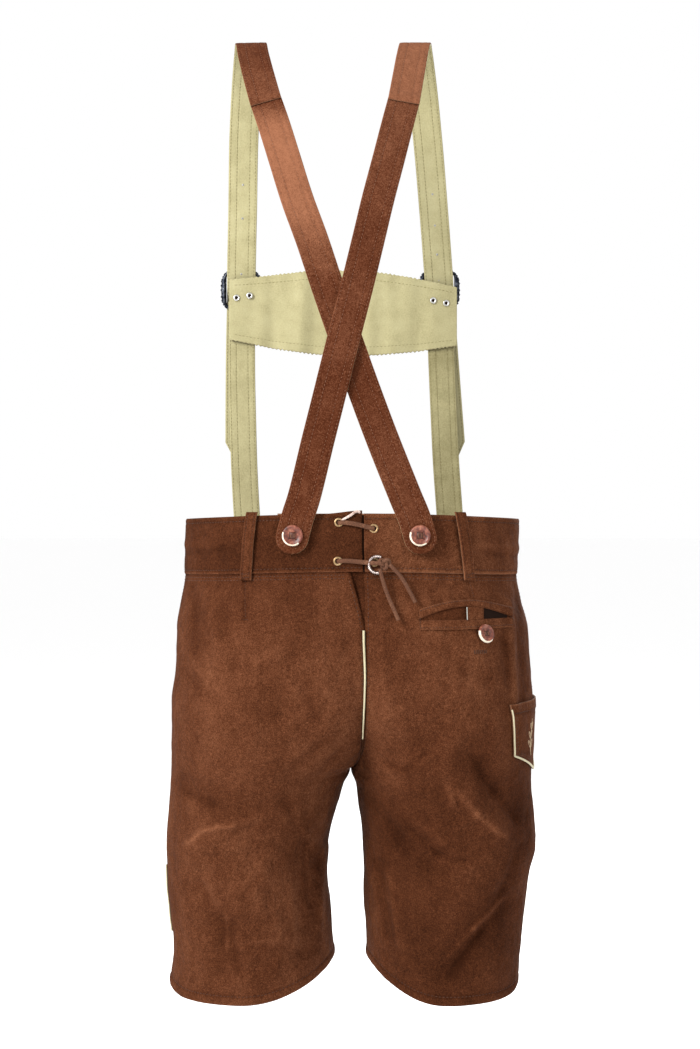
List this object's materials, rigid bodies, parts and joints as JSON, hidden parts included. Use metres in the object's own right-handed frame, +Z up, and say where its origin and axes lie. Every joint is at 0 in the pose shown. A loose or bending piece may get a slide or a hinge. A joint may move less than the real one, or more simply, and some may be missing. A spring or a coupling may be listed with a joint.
{
  "type": "lederhosen with braces",
  "caption": "Short brown suede trousers in worn form with a laced back, crossed braces, chest bar, buckles and side pocket.",
  "frame": {"origin": "mid-plane, level with the undersides of the strap crests, where the wearer's shoulders carry the braces", "axes": "+Z up, the garment's front faces -Y, the wearer's left is +X"},
  "size_m": [0.3891, 0.261, 0.9987],
  "materials": {
    "shorts_suede": "brushed brown suede with mottled nap",
    "cream_piping": "narrow cream leather piping",
    "brace_suede": "reddish brown suede",
    "cream_leather": "pale chamois-like lining leather",
    "horn_button": "polished reddish horn with a pale rim",
    "lace_leather": "suede thong",
    "brass_eyelet": "dulled brass",
    "nickel": "nickel plated",
    "buckle_metal": "blackened antique silver"
  },
  "bodies": {
    "root": {"back_panel_left": "shorts_suede", "back_panel_right": "shorts_suede", "front_panel_left": "shorts_suede", "front_panel_right": "shorts_suede", "waistband_back_left": "shorts_suede", "waistband_back_right": "shorts_suede", "waistband_front_left": "shorts_suede", "waistband_front_right": "shorts_suede", "back_gusset": "shorts_suede", "pocket_welt_upper": "shorts_suede", "pocket_welt_lower": "shorts_suede", "pocket_tab": "shorts_suede", "knife_pocket": "shorts_suede", "front_flap": "shorts_suede", "belt_loop_back_left": "shorts_suede", "belt_loop_back_right": "shorts_suede", "belt_loop_front_left": "shorts_suede", "belt_loop_front_right": "shorts_suede", "centre_back_piping": "cream_piping", "side_vent_piping_left": "cream_piping", "side_vent_piping_right": "cream_piping", "knife_pocket_piping": "cream_piping", "front_flap_piping": "cream_piping", "back_strap_left": "brace_suede", "back_strap_right": "brace_suede", "shoulder_strap_left": "brace_suede", "shoulder_strap_right": "brace_suede", "lower_strap_left": "brace_suede", "lower_strap_right": "brace_suede", "chest_bar": "brace_suede", "back_strap_lining_left": "cream_leather", "back_strap_lining_right": "cream_leather", "shoulder_strap_lining_left": "cream_leather", "shoulder_strap_lining_right": "cream_leather", "lower_strap_lining_left": "cream_leather", "lower_strap_lining_right": "cream_leather", "chest_bar_lining": "cream_leather", "pocket_button": "horn_button", "flap_button_left": "horn_button", "flap_button_right": "horn_button", "brace_button_back_left": "horn_button", "brace_button_back_right": "horn_button", "brace_button_front_left": "horn_button", "brace_button_front_right": "horn_button", "lace_upper": "lace_leather", "lace_lower": "lace_leather", "lace_knot": "lace_leather", "lace_end_long": "lace_leather", "lace_end_short": "lace_leather", "lace_eyelet_upper_left": "brass_eyelet", "lace_eyelet_upper_right": "brass_eyelet", "lace_eyelet_lower_left": "brass_eyelet", "lace_eyelet_lower_right": "brass_eyelet", "lace_ring": "nickel", "bar_eyelet_left_outer": "nickel", "bar_eyelet_left_inner": "nickel", "bar_eyelet_right_outer": "nickel", "bar_eyelet_right_inner": "nickel", "buckle_left": "buckle_metal", "buckle_right": "buckle_metal"}
  },
  "joints": []
}
